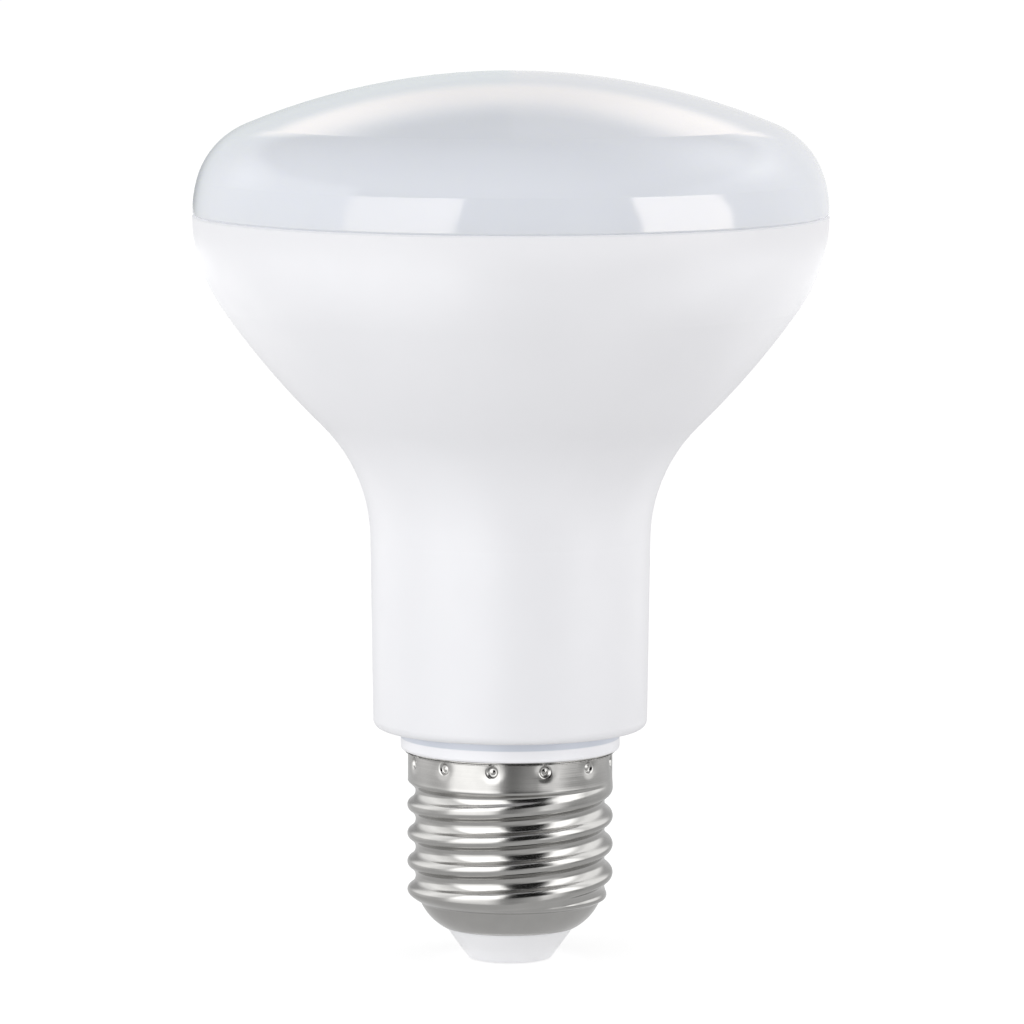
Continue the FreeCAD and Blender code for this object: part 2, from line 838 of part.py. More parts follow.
def transformer_winding():
    centre = core_place()
    width, height = window()
    length = height - 2 * bobbin_clearance - 2 * bobbin_flange
    inner_x = core_leg + 2 * (bobbin_clearance + bobbin_wall)
    inner_y = core_depth + 2 * (bobbin_clearance + bobbin_wall)
    outer_x = core_leg + 2 * (width - bobbin_clearance - winding_margin)
    outer_y = bobbin_flange_depth - 2 * winding_margin
    coil = centred(outer_x, outer_y, length, centre)
    upright = [edge for edge in coil.Edges if abs(edge.BoundBox.ZLength - length) < TOLERANCE]
    coil = coil.makeFillet((outer_x - inner_x) / 2, upright)
    return coil.cut(centred(inner_x, inner_y, length, centre))


def rear_part(size, level):
    """A flat-backed part on the rear face of the driver board."""
    x_size, y_size, z_size = size
    return block(x_size, y_size, z_size, 0, board_rear_y + y_size / 2, level)


def live_wire():
    """From the driver board to the centre contact's shank."""
    x = spigot_bore - live_wire_inset
    y = board_face_y - wire_radius
    route = [
        V(x, y, input_can_z + joint_length),
        V(x, y, board_foot_z + wire_slack),
        V(0, 0, shank_top_z + live_wire_rise),
        V(0, 0, shank_top_z),
    ]
    return wire_along(route, wire_radius, wire_bend)


def neutral_wire():
    """From the driver board to the inside of the screw shell."""
    x = -neutral_wire_aside
    y = board_rear_y + wire_radius
    outward = V(x, y, 0).normalize()
    level = spigot_foot_z - wire_radius - wire_slack
    tip = outward * (root_radius - sheet - wire_tip_gap) + V(0, 0, level)
    return wire_along([V(x, y, input_can_z + joint_length), V(x, y, level), tip], wire_radius, wire_bend)


def led_wire(side, x):
    """From the top of the driver board through the plate to the plug."""
    y = board_face_y - wire_radius
    middle_y = side * led_wire_spacing / 2
    level = wire_level()
    route = [
        V(x, y, board_top_z - led_wire_joint),
        V(x, y, board_top_z + led_wire_lead),
        V(led_wire_in_hole, middle_y, board_top_z + led_wire_gather),
        V(led_wire_in_hole, middle_y, level),
        V(wire_hole_radius + plug_gap + plug_entry_depth - wire_tip_gap, middle_y, level),
    ]
    return wire_along(route, wire_radius, wire_bend)


parts = {
    "diffuser_cover": diffuser_cover(),
    "cover_adhesive": cover_adhesive(),
    "housing": housing(),
    "heat_sink_liner": heat_sink_liner(),
    "mounting_plate": mounting_plate(),
    "thermal_pad": thermal_pad(),
    "led_board": led_board(),
    "leds": leds(),
    "board_screws": board_screws(),
    "led_plug": led_plug(),
    "driver_sleeve": driver_sleeve(),
    "driver_board": driver_board(),
    "input_capacitor": input_capacitor(),
    "output_capacitor": output_capacitor(),
    "fuse_resistor": fuse_resistor(),
    "choke_core": choke_core(),
    "choke_winding": choke_winding(),
    "film_capacitor": film_capacitor(),
    "transformer_core": transformer_core(),
    "transformer_bobbin": transformer_bobbin(),
    "transformer_winding": transformer_winding(),
    "bridge_rectifier": rear_part(rectifier_size, input_can_z + rectifier_lift),
    "driver_chip": rear_part(chip_size, core_z + chip_lift),
    "output_diode": rear_part(diode_size, output_can_z),
    "live_wire": live_wire(),
    "neutral_wire": neutral_wire(),
    "led_wire_positive": led_wire(1, led_wire_places[0]),
    "led_wire_negative": led_wire(-1, led_wire_places[1]),
    "screw_shell": screw_shell(),
    "cap_insulator": cap_insulator(),
    "centre_contact": centre_contact(),
}

os.makedirs("parts", exist_ok=True)
for name, shape in parts.items():
    shape.exportStep("parts/" + name + ".step")
    print(name, "valid", shape.isValid(), "solids", len(shape.Solids), "volume", round(shape.Volume, 2))
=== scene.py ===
"""Looks of a white reflector lamp with an opal front and a nickel screw cap."""
import math

import bpy
from bpy.props import FloatProperty, FloatVectorProperty, IntProperty, PointerProperty
from mathutils import Matrix, Vector


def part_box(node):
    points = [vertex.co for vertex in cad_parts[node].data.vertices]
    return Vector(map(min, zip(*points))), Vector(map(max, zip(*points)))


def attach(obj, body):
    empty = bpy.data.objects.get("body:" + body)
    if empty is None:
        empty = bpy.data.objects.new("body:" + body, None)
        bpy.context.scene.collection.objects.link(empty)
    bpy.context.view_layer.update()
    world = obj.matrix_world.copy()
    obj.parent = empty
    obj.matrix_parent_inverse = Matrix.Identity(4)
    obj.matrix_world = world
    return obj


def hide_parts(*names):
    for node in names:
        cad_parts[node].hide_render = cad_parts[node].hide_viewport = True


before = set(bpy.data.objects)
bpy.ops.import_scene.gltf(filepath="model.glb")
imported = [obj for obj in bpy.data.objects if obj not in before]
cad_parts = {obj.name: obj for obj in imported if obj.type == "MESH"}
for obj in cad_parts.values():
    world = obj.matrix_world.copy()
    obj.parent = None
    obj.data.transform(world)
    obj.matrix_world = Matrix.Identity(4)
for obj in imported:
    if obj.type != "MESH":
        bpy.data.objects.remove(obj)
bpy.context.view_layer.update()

bl_info = {
    "name": "Reflector lamp",
    "version": (1, 0, 0),
    "blender": (4, 5, 0),
    "location": "3D View > Sidebar > Lamp",
    "description": "Builds the rolled screw cap of a reflector lamp and gives each piece its finish",
    "category": "Object",
}

shell_low, shell_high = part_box("screw_shell")
# One millimetre in metres, which is the scene's unit.
MM = 0.001


def linear(hex_value):
    """Linear colour of an sRGB hex value such as #C0FFEE."""
    channels = [int(hex_value[start:start + 2], 16) / 255 for start in (1, 3, 5)]
    return [c / 12.92 if c <= 0.04045 else ((c + 0.055) / 1.055) ** 2.4 for c in channels]


def colour(name, hex_value):
    """A colour that the sidebar can change."""
    return FloatVectorProperty(
        name=name, description=name + " in linear light", subtype="COLOR", size=3, min=0, max=1,
        default=linear(hex_value))


def length(name, description, millimetres):
    """A length that the sidebar can change."""
    return FloatProperty(
        name=name, description=description, default=millimetres * MM, min=0, unit="LENGTH", precision=5)


class ShellSizes(bpy.types.PropertyGroup):
    """Sizes of the rolled screw shell."""

    thread_radius: FloatProperty(
        name="Crest radius", description="Radius over the crests of the thread", unit="LENGTH",
        default=shell_high.x, min=0, precision=5)
    band_radius: length("Band radius", "Outer radius of the plain band over the thread", 12.95)
    thread_depth: length("Thread depth", "From crest to root", 1.05)
    root_arc: length("Root arc", "Radius of the arc at the bottom of a groove", 1.2)
    crest_arc: length("Crest arc", "Radius of the arc over a crest", 0.88)
    thread_lead: length("Thread lead", "Rise of the thread in one turn", 3.629)
    groove_height: length(
        "Groove height", "Height of a groove's middle on the +X side, before it leans", 12.61)
    lean_right: FloatProperty(
        name="Lean to the right", description="Angle by which the thread rises towards +X", subtype="ANGLE",
        default=math.radians(0.97))
    lean_back: FloatProperty(
        name="Lean to the back", description="Angle by which the thread rises towards +Y", subtype="ANGLE",
        default=math.radians(1.2))
    groove_top: length(
        "Upper run-out", "Height of the groove's middle where it begins to fade at the band", 21.4)
    groove_end: length("Groove end", "Height of the groove's middle where it has faded out", 23.4)
    band_foot: length("Band foot", "Height at which the band meets the uppermost groove", 22.8)
    groove_foot: length(
        "Lower run-out", "Height of the groove's middle where it has faded out at the bowl", 7.95)
    groove_start: length("Groove start", "Height of the groove's middle where it has its full depth", 8.9)
    sheet: length("Sheet thickness", "Thickness of the rolled sheet", 0.35)
    bowl_radius: length("Bowl radius", "Radius of the bowl at its top", 11.38)
    bowl_height: length("Bowl top", "Height of the bowl's top", 7.35)
    bowl_arc: length("Bowl arc", "Radius of the bowl's arc", 6.7)
    lip_radius: length("Lip radius", "Radius at which the bowl meets the insulator", 8.55)
    lip_hole: length("Lip hole", "Radius of the hole in the bowl", 7.2)
    bead_height: length("Bead height", "Height of the bead under the shell's rim", 0.34)
    bead_dip: length("Bead dip", "Depth of the dip under the bead", 0.06)
    dimple_radius: length("Dimple radius", "Radius of a crimp dimple", 0.8)
    dimple_depth: length("Dimple depth", "Depth of a crimp dimple", 0.42)
    dimple_drop: length("Dimple drop", "From the rim down to the middle of a dimple", 1.3)
    dimple_count: IntProperty(
        name="Dimples", description="Number of crimp dimples round the band", default=12, min=1)
    dimple_turn: FloatProperty(
        name="Dimple turn", description="Angle of the first dimple from +X", subtype="ANGLE",
        default=math.radians(20))


class VisibleColours(bpy.types.PropertyGroup):
    """Colours of the pieces that can be seen."""

    opal: colour("Opal polycarbonate", "#E3E6ED")
    housing: colour("White housing", "#F1F1F4")
    sleeve: colour("White sleeve", "#FAFAFD")
    nickel: colour("Nickel plate", "#AEADAB")
    insulator: colour("White insulator", "#FCFCFE")
    brass: colour("Brass contact", "#D9B873")


class HiddenColours(bpy.types.PropertyGroup):
    """Colours of the pieces inside the lamp."""

    aluminium: colour("Aluminium sheet", "#D8D9DA")
    silicone: colour("Cured silicone", "#E8E8E4")
    pad: colour("Thermal pad", "#A9B4BC")
    board_white: colour("White solder mask", "#F0EFE8")
    board_green: colour("Green solder mask", "#1F5E37")
    phosphor: colour("Phosphor resin", "#F2D35E")
    zinc: colour("Zinc-plated steel", "#C9CACC")
    nylon: colour("Plug nylon", "#EAE6D8")
    can: colour("Capacitor sleeve", "#20222A")
    film_box: colour("Film capacitor case", "#D9A02E")
    cement: colour("Resistor cement", "#6E7F62")
    ferrite: colour("Ferrite", "#3A3A3D")
    copper: colour("Enamelled copper", "#B8683A")
    phenolic: colour("Bobbin phenolic", "#1E1E20")
    tape: colour("Polyester tape", "#E0BC2A")
    epoxy: colour("Package epoxy", "#18181A")
    wire_red: colour("Red insulation", "#B3201C")
    wire_black: colour("Black insulation", "#1A1A1C")
    wire_white: colour("White insulation", "#EDEDE8")


class StudioSettings(bpy.types.PropertyGroup):
    """Lamps, surroundings and camera."""

    left_lamp: FloatProperty(
        name="Left lamp", description="Radiance of the left lamp on matt surfaces", default=1.75, min=0)
    right_lamp: FloatProperty(
        name="Right lamp", description="Radiance of the right lamp on matt surfaces", default=1.23, min=0)
    left_softbox: FloatProperty(
        name="Left softbox", description="Radiance of the left softbox in reflections", default=2.8, min=0)
    right_softbox: FloatProperty(
        name="Right softbox", description="Radiance of the right softbox in reflections", default=4.2, min=0)
    back_panel: FloatProperty(
        name="Back panel", description="Radiance of the panel behind the lamp", default=1.2, min=0)
    back_wall: FloatProperty(
        name="Back wall", description="Radiance of the wall under the back panel", default=0.88, min=0)
    dark_room: FloatProperty(
        name="Dark room", description="Radiance of the ceiling and of the room in front", default=0.04, min=0)
    table: FloatProperty(
        name="Table", description="Radiance of the table round the screw cap", default=0.72, min=0)
    fill: FloatProperty(
        name="Fill", description="Strength of the surroundings for diffuse light", default=0.735, min=0)
    floor_lift: FloatProperty(
        name="Floor lift", description="Light that the floor shows by itself", default=0.6, min=0)
    floor_glow: FloatProperty(
        name="Floor glow", description="Light that the floor gives to matt surfaces by itself",
        default=0.24, min=0)
    camera_distance: length("Camera distance", "From the lamp's axis to the camera", 850.0)
    camera_height: length("Camera height", "Height of the camera over the floor", 151.383)
    camera_tilt: FloatProperty(
        name="Camera tilt", description="Angle by which the camera looks down", subtype="ANGLE",
        default=math.radians(6.343))
    camera_roll: FloatProperty(
        name="Camera roll", description="Turn of the camera about its view", subtype="ANGLE",
        default=math.radians(0.075))
    camera_lens: FloatProperty(
        name="Focal length", description="Focal length in millimetres on a sensor 36 mm wide",
        default=238.33, min=1)
    camera_shift: FloatProperty(
        name="Camera shift", description="Sideways shift as a share of the frame", default=0.0015)


def add(tree, kind, inputs=None, **fields):
    """Adds a node, sets its fields and inputs, and links the inputs that are given a socket."""
    node = tree.nodes.new("ShaderNode" + kind)
    for field, value in fields.items():
        setattr(node, field, value)
    for key, value in (inputs or {}).items():
        if isinstance(value, bpy.types.NodeSocket):
            tree.links.new(value, node.inputs[key])
        else:
            node.inputs[key].default_value = value
    return node


def new_material(name):
    """An empty node material and the place in which its patterns are drawn."""
    material = bpy.data.materials.new(name)
    material.use_nodes = True
    material.node_tree.nodes.clear()
    tree = material.node_tree
    return material, tree, add(tree, "TexCoord").outputs["Object"]


def opaque(shade):
    """A colour with the fourth value that a colour socket asks for."""
    return (*shade, 1.0)


def close_material(tree, shader):
    """Sends a shader to the material's surface."""
    add(tree, "OutputMaterial", {"Surface": shader.outputs[0]})


# Nearly all values of a noise texture lie between these two.
NOISE_LOW, NOISE_HIGH = 0.3, 0.7


def mottled(tree, place, shade, size, depth):
    """A colour that drifts by a share over patches of a size."""
    drift = add(tree, "TexNoise", {"Vector": place, "Scale": 1 / size, "Detail": 3.0})
    share = add(tree, "MapRange", {
        "Value": drift.outputs["Fac"], "From Min": NOISE_LOW, "From Max": NOISE_HIGH})
    darker = [channel * (1 - depth) for channel in shade]
    blend = add(
        tree, "Mix", {0: share.outputs["Result"], 6: opaque(darker), 7: opaque(shade)}, data_type="RGBA")
    return blend.outputs[2]


def uneven(tree, place, value, size, depth):
    """A roughness that drifts up and down by a depth over patches of a size."""
    drift = add(tree, "TexNoise", {"Vector": place, "Scale": 1 / size, "Detail": 3.0})
    span = add(tree, "MapRange", {
        "Value": drift.outputs["Fac"], "From Min": NOISE_LOW, "From Max": NOISE_HIGH,
        "To Min": value - depth, "To Max": value + depth})
    return span.outputs["Result"]


def grained(tree, place, size, depth):
    """The relief of a fine grain, as a normal."""
    grain = add(tree, "TexNoise", {"Vector": place, "Scale": 1 / size, "Detail": 2.0})
    relief = add(tree, "Bump", {"Height": grain.outputs["Fac"], "Distance": depth, "Strength": 1.0})
    return relief.outputs["Normal"]


def moulded(name, shade, roughness, grain, depth, ior=1.5, **extra):
    """A moulded plastic, whose mould leaves a fine grain and a faint flow in its gloss.

    The grain's width and depth are in millimetres.
    """
    material, tree, place = new_material(name)
    inputs = {
        "Base Color": mottled(tree, place, shade, size=9 * MM, depth=0.012),
        "Roughness": uneven(tree, place, roughness, size=4 * MM, depth=0.12 * roughness),
        "IOR": ior,
        "Normal": grained(tree, place, size=grain * MM, depth=depth * MM),
    }
    inputs.update(extra)
    close_material(tree, add(tree, "BsdfPrincipled", inputs))
    return material


def opal_polycarbonate(shade):
    """Opal polycarbonate, injection moulded in a polished mould.

    Light goes a little way into the milky resin, which softens its shading,
    and the polished skin mirrors the lamps sharply with a very slight sway.
    """
    return moulded(
        "Opal polycarbonate, moulded", shade, roughness=0.09, grain=14.0, depth=0.004, ior=1.585,
        **{"Subsurface Weight": 0.25, "Subsurface Radius": (0.004, 0.004, 0.005), "Subsurface Scale": 0.4})


def satin_polyester(shade):
    """White polyester, injection moulded in a finely blasted mould.

    The fine grain gives it a satin skin with broad, dim highlights.
    """
    return moulded("White polyester, satin moulded", shade, roughness=0.42, grain=0.25, depth=0.004)


# Painted shade on the sleeve's strip right under the housing: the heights over which it begins,
# and its share of the sleeve's red, green and blue.
PAINTED_SHADE_LOW, PAINTED_SHADE_HIGH = 28.30 * MM, 28.44 * MM
PAINTED_SHADE_TINT = (0.7, 0.735, 0.79)


def smooth_polyester(shade):
    """White polyester, moulded in a smooth mould, which leaves a livelier gloss.

    A cool grey shade is painted on the strip right under the housing, where little light gets in.
    """
    material, tree, place = new_material("White polyester, smooth moulded")
    height = add(tree, "SeparateXYZ", {"Vector": place}).outputs["Z"]
    # Painted shade: the sleeve's colour turns a cool grey above this height, under the housing.
    painted_shade = add(tree, "MapRange", {"Value": height, "From Min": PAINTED_SHADE_LOW, "From Max": PAINTED_SHADE_HIGH})
    shaded_colour = [channel * share for channel, share in zip(shade, PAINTED_SHADE_TINT)]
    tone = add(tree, "Mix", {
        0: painted_shade.outputs["Result"], 6: mottled(tree, place, shade, size=9 * MM, depth=0.004),
        7: opaque(shaded_colour)}, data_type="RGBA")
    close_material(tree, add(tree, "BsdfPrincipled", {
        "Base Color": tone.outputs[2],
        "Roughness": uneven(tree, place, 0.3, size=4 * MM, depth=0.02),
        "IOR": 1.5,
        "Normal": grained(tree, place, size=2 * MM, depth=0.0008 * MM),
    }))
    return material


def white_thermoset(shade):
    """White filled thermoset, pressed: hard, pale and evenly semi-matt."""
    return moulded("White thermoset, pressed", shade, roughness=0.34, grain=0.4, depth=0.003)


def nickel_plate(shade):
    """Nickel plate on rolled brass sheet, satin.

    Rolling leaves faint lines that run round the cap. They stretch each
    highlight upwards and break its edges.
    """
    material, tree, place = new_material("Nickel plate, rolled")
    run, width = 14.3 * MM, 0.1923 * MM
    stretched = add(tree, "Mapping", {"Vector": place, "Scale": (1 / run, 1 / run, 1 / width)})
    lines = add(tree, "TexNoise", {"Vector": stretched.outputs["Vector"], "Scale": 1.0, "Detail": 4.0})
    gloss = add(tree, "MapRange", {
        "Value": lines.outputs["Fac"], "From Min": NOISE_LOW, "From Max": NOISE_HIGH,
        "To Min": 0.12, "To Max": 0.2})
    relief = add(tree, "Bump", {
        "Height": lines.outputs["Fac"], "Distance": 0.004 * MM, "Strength": 1.0})
    close_material(tree, add(tree, "BsdfPrincipled", {
        "Base Color": mottled(tree, place, shade, size=2.5 * MM, depth=0.06),
        "Metallic": 1.0,
        "Roughness": gloss.outputs["Result"],
        "Normal": relief.outputs["Normal"],
    }))
    return material


def sheet_metal(name, shade, roughness, line_width, depth):
    """A bare rolled sheet, with fine lines along X from the rolls.

    The lines' width and depth are in millimetres.
    """
    material, tree, place = new_material(name)
    run, width = 16.7 * MM, line_width * MM
    stretched = add(tree, "Mapping", {"Vector": place, "Scale": (1 / run, 1 / width, 1 / width)})
    lines = add(tree, "TexNoise", {"Vector": stretched.outputs["Vector"], "Scale": 1.0, "Detail": 3.0})
    gloss = add(tree, "MapRange", {
        "Value": lines.outputs["Fac"], "To Min": roughness * 0.7, "To Max": roughness * 1.3})
    relief = add(tree, "Bump", {"Height": lines.outputs["Fac"], "Distance": depth * MM, "Strength": 1.0})
    close_material(tree, add(tree, "BsdfPrincipled", {
        "Base Color": mottled(tree, place, shade, size=3 * MM, depth=0.05),
        "Metallic": 1.0,
        "Roughness": gloss.outputs["Result"],
        "Normal": relief.outputs["Normal"],
    }))
    return material


def solder_mask(name, shade):
    """Glossy solder mask on a circuit board, faintly raised over its tracks."""
    material, tree, place = new_material(name)
    tracks = add(tree, "TexBrick", {
        "Vector": place, "Scale": 1 / (5 * MM), "Mortar Size": 0.06, "Mortar Smooth": 0.3, "Brick Width": 1.2,
        "Row Height": 0.6, "Color1": opaque(shade), "Color2": opaque([0.93 * c for c in shade]),
        "Mortar": opaque([0.8 * c for c in shade])})
    relief = add(tree, "Bump", {"Height": tracks.outputs["Fac"], "Distance": 0.03 * MM, "Strength": 1.0})
    close_material(tree, add(tree, "BsdfPrincipled", {
        "Base Color": tracks.outputs["Color"],
        "Roughness": uneven(tree, place, 0.3, size=2 * MM, depth=0.06),
        "Normal": relief.outputs["Normal"],
    }))
    return material


def wound(name, shade, pitch, roughness, metallic):
    """Turns of wire or tape lying side by side, as ridges a pitch in millimetres apart."""
    material, tree, place = new_material(name)
    turns = add(tree, "TexWave", {
        "Vector": place, "Scale": 1 / (pitch * MM * 2 * math.pi), "Distortion": 0.6, "Detail": 1.0},
        bands_direction="Z", wave_profile="SIN")
    relief = add(tree, "Bump", {
        "Height": turns.outputs["Fac"], "Distance": 0.3 * pitch * MM, "Strength": 1.0})
    close_material(tree, add(tree, "BsdfPrincipled", {
        "Base Color": mottled(tree, place, shade, size=2 * MM, depth=0.1),
        "Metallic": metallic,
        "Roughness": uneven(tree, place, roughness, size=1 * MM, depth=0.05),
        "Normal": relief.outputs["Normal"],
    }))
    return material


def dress(material, *names):
    """Gives CAD nodes a finish through their own slots."""
    for name in names:
        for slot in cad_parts[name].material_slots:
            slot.material = material


def smoothstep(low, high, value):
    """Nothing at the low end and one at the high end, with a smooth rise between them."""
    share = min(max((value - low) / (high - low), 0.0), 1.0)
    return share * share * (3 - 2 * share)


def softer_max(first, second, blend):
    """The larger of two values, with the corner between them rounded."""
    if blend <= 0:
        return max(first, second)
    gap = max(blend - abs(first - second), 0.0) / blend
    return max(first, second) + gap * gap * blend / 4


def wave_depth(sizes, away):
    """Depth of the thread at a distance from a groove's middle: two arcs joined by their common tangent."""
    half = sizes.thread_lead / 2
    arcs = sizes.root_arc + sizes.crest_arc
    drop = arcs - sizes.thread_depth
    flank = math.asin(min(arcs / math.hypot(half, drop), 1.0)) - math.atan(drop / half)
    if away < sizes.root_arc * math.sin(flank):
        return sizes.thread_depth - sizes.root_arc + math.sqrt(sizes.root_arc ** 2 - away ** 2)
    beyond = half - away
    reach = sizes.crest_arc * math.sin(flank)
    if beyond < reach:
        return sizes.crest_arc - math.sqrt(sizes.crest_arc ** 2 - beyond ** 2)
    return sizes.crest_arc * (1 - math.cos(flank)) + (beyond - reach) * math.tan(flank)


# The roll that presses the thread lifts off this much further than the groove is deep.
ROLL_LIFT = 0.1 * MM
# Roundings where the groove fades out, and where it meets the band and the fold over the bowl.
FADE_ROUNDING, EDGE_ROUNDING = 0.3 * MM, 0.2 * MM
# Depth that the groove may reach for each millimetre down from the band, and up from the fold.
BAND_SLOPE, FOLD_SLOPE = 1.1, 1.3
# Height of the fold over the bowl's top.
FOLD_HEIGHT = 0.45 * MM


def thread_depth_at(sizes, angle, height):
    """Depth of the groove under the crests. The roll that presses it lifts off at both of its ends."""
    rise = math.tan(sizes.lean_right) * math.cos(angle) + math.tan(sizes.lean_back) * math.sin(angle)
    level = height - rise * sizes.thread_radius
    turns = (level - sizes.groove_height) / sizes.thread_lead - angle / (2 * math.pi)
    away = (turns - round(turns)) * sizes.thread_lead
    middle = level - away
    above = (middle - sizes.groove_top) / (sizes.groove_end - sizes.groove_top)
    below = (sizes.groove_start - middle) / (sizes.groove_start - sizes.groove_foot)
    lift = max(above, below, 0.0) ** 2 * (sizes.thread_depth + ROLL_LIFT)
    depth = softer_max(wave_depth(sizes, abs(away)) - lift, 0.0, min(FADE_ROUNDING, lift))
    over_fold = height - sizes.bowl_height - FOLD_HEIGHT
    wall = max(min(BAND_SLOPE * (sizes.band_foot - height), FOLD_SLOPE * over_fold), 0.0)
    return max(-softer_max(-depth, -wall, EDGE_ROUNDING), 0.0)


# A crimp dimple's dish, wall and raised middle. Each has a share of the dimple's depth, and a pair of
# shares of its radius between which it ends.
DISH_DEPTH, DISH_END = 0.2, (0.6, 2.0)
WALL_DEPTH, WALL_END = 0.8, (0.62, 1.0)
MIDDLE_RISE, MIDDLE_END = 0.35, (0.1, 0.5)


def dimple_depth_at(sizes, aside, height):
    """Depth of a crimp dimple: a shallow dish, a steep wall and a raised middle."""
    away = math.hypot(aside, height - (shell_high.z - sizes.dimple_drop)) / sizes.dimple_radius
    dish = DISH_DEPTH * (1 - smoothstep(*DISH_END, away))
    wall = WALL_DEPTH * (1 - smoothstep(*WALL_END, away))
    middle = MIDDLE_RISE * (1 - smoothstep(*MIDDLE_END, away))
    return sizes.dimple_depth * (dish + wall - middle)


def bezier(corners, share):
    """The point at a share of the way along a cubic curve."""
    first, second, third, last = (Vector(corner) for corner in corners)
    rest = 1 - share
    return (
        rest ** 3 * first + 3 * rest * rest * share * second
        + 3 * rest * share * share * third + share ** 3 * last)


# Steps down the outside: round the bead, in the dip under it, over a dimple, and down the thread, the
# shoulder and the bowl. The columns over a dimple are as many as the rows.
BEAD_STEPS, DIP_STEPS, DIMPLE_STEPS = 8, 3, 18
THREAD_STEPS, SHOULDER_STEPS, BOWL_STEPS = 96, 14, 16
# Columns between two dimples.
GAP_STEPS = 9
# Angle by which the bead is rolled over, and height of a step in the dip under it.
BEAD_TURN, DIP_STEP = math.pi * 0.75, 0.05 * MM
# Half the height and half the width of the finely divided field round a dimple, as shares of its radius,
# and the widest that half may be, as a share of the angle from one dimple to the next.
FIELD_HEIGHT, FIELD_WIDTH, WIDEST_FIELD = 1.25, 1.3, 0.4
# Gap under the dimples' rows, and the height over which the band widens to the thread.
ROW_GAP, SWELL_HEIGHT = 0.25 * MM, 1.5 * MM
# The shoulder: its height over the bowl's top, its straight start, and how far out and up it is drawn
# before it folds in to the bowl.
SHOULDER_HEIGHT, SHOULDER_START = 1.5 * MM, 0.6 * MM
FOLD_OUT, FOLD_UP = 0.85 * MM, 0.5 * MM
# Depth of the crease between the shoulder and the bowl's arc.
CREASE = 0.1 * MM


def bead_outline(sizes):
    """The bead under the rim and the dip below it."""
    rim = shell_high.z
    bead = sizes.bead_height / 2
    outline = []
    for step in range(BEAD_STEPS + 1):
        turn = math.pi / 2 - BEAD_TURN * step / BEAD_STEPS
        outline.append((
            sizes.thread_radius - bead + bead * math.cos(turn), rim - bead + bead * math.sin(turn)))
    for step in range(1, DIP_STEPS + 1):
        outline.append((
            sizes.band_radius - sizes.bead_dip * (1 - smoothstep(0, DIP_STEPS, step)),
            rim - sizes.bead_height - DIP_STEP * step))
    return outline


def band_outline(sizes):
    """The band with its dimples and, below it, the height of the thread."""
    reach = FIELD_HEIGHT * sizes.dimple_radius
    highest = shell_high.z - sizes.dimple_drop + reach
    heights = [highest - 2 * reach * step / DIMPLE_STEPS for step in range(DIMPLE_STEPS + 1)]
    outline = [(sizes.band_radius, height) for height in heights]
    top = heights[-1] - ROW_GAP
    foot = sizes.bowl_height + SHOULDER_HEIGHT
    for step in range(THREAD_STEPS):
        height = top + (foot - top) * step / THREAD_STEPS
        swell = smoothstep(sizes.groove_end, sizes.groove_end - SWELL_HEIGHT, height)
        outline.append((sizes.band_radius + (sizes.thread_radius - sizes.band_radius) * swell, height))
    return outline


def shoulder_outline(sizes):
    """The shoulder under the thread, which folds in to the bowl."""
    top = sizes.bowl_height + SHOULDER_HEIGHT
    corners = [
        (sizes.thread_radius, top),
        (sizes.thread_radius, top - SHOULDER_START),
        (sizes.bowl_radius + FOLD_OUT, sizes.bowl_height + FOLD_UP),
        (sizes.bowl_radius, sizes.bowl_height),
    ]
    return [tuple(bezier(corners, step / SHOULDER_STEPS)) for step in range(SHOULDER_STEPS + 1)]


def bowl_outline(sizes):
    """The bowl, as one arc from the fold down to the insulator."""
    high = Vector((sizes.bowl_radius, sizes.bowl_height))
    low = Vector((sizes.lip_radius, shell_low.z))
    chord = high - low
    reach = math.sqrt(sizes.bowl_arc ** 2 - (chord.length / 2) ** 2)
    centre = (high + low) / 2 + Vector((-chord.y, chord.x)).normalized() * reach
    start = math.asin((sizes.bowl_height - CREASE - centre.y) / sizes.bowl_arc)
    end = math.asin((shell_low.z - centre.y) / sizes.bowl_arc)
    turns = [start + (end - start) * step / BOWL_STEPS for step in range(BOWL_STEPS + 1)]
    return [
        (centre.x + sizes.bowl_arc * math.cos(turn), centre.y + sizes.bowl_arc * math.sin(turn))
        for turn in turns
    ]


def sheet_inside(sizes, outline):
    """The inside of the sheet, one thickness in from every second point under the top of the bead."""
    lining = []
    for place in range(BEAD_STEPS // 2, len(outline) - 1, 2):
        before, after = Vector(outline[place - 1]), Vector(outline[place + 1])
        run = (after - before).normalized()
        inward = Vector((run.y, -run.x)) * sizes.sheet
        middle = Vector(outline[place]) + inward
        lining.append((middle.x, max(middle.y, shell_low.z + sizes.sheet)))
    return lining


def shell_angles(sizes):
    """Angles round the shell, close together at the dimples.

    Each comes with its angle from the dimple's middle, or with None between the dimples.
    """
    sector = 2 * math.pi / sizes.dimple_count
    near = min(FIELD_WIDTH * sizes.dimple_radius / sizes.band_radius, WIDEST_FIELD * sector)
    fine = [-near + 2 * near * step / DIMPLE_STEPS for step in range(DIMPLE_STEPS + 1)]
    coarse = [near + (sector - 2 * near) * step / GAP_STEPS for step in range(1, GAP_STEPS)]
    angles = []
    for index in range(sizes.dimple_count):
        dimple = sizes.dimple_turn + sector * index
        angles += [(dimple + step, step) for step in fine]
        angles += [(dimple + step, None) for step in coarse]
    return angles


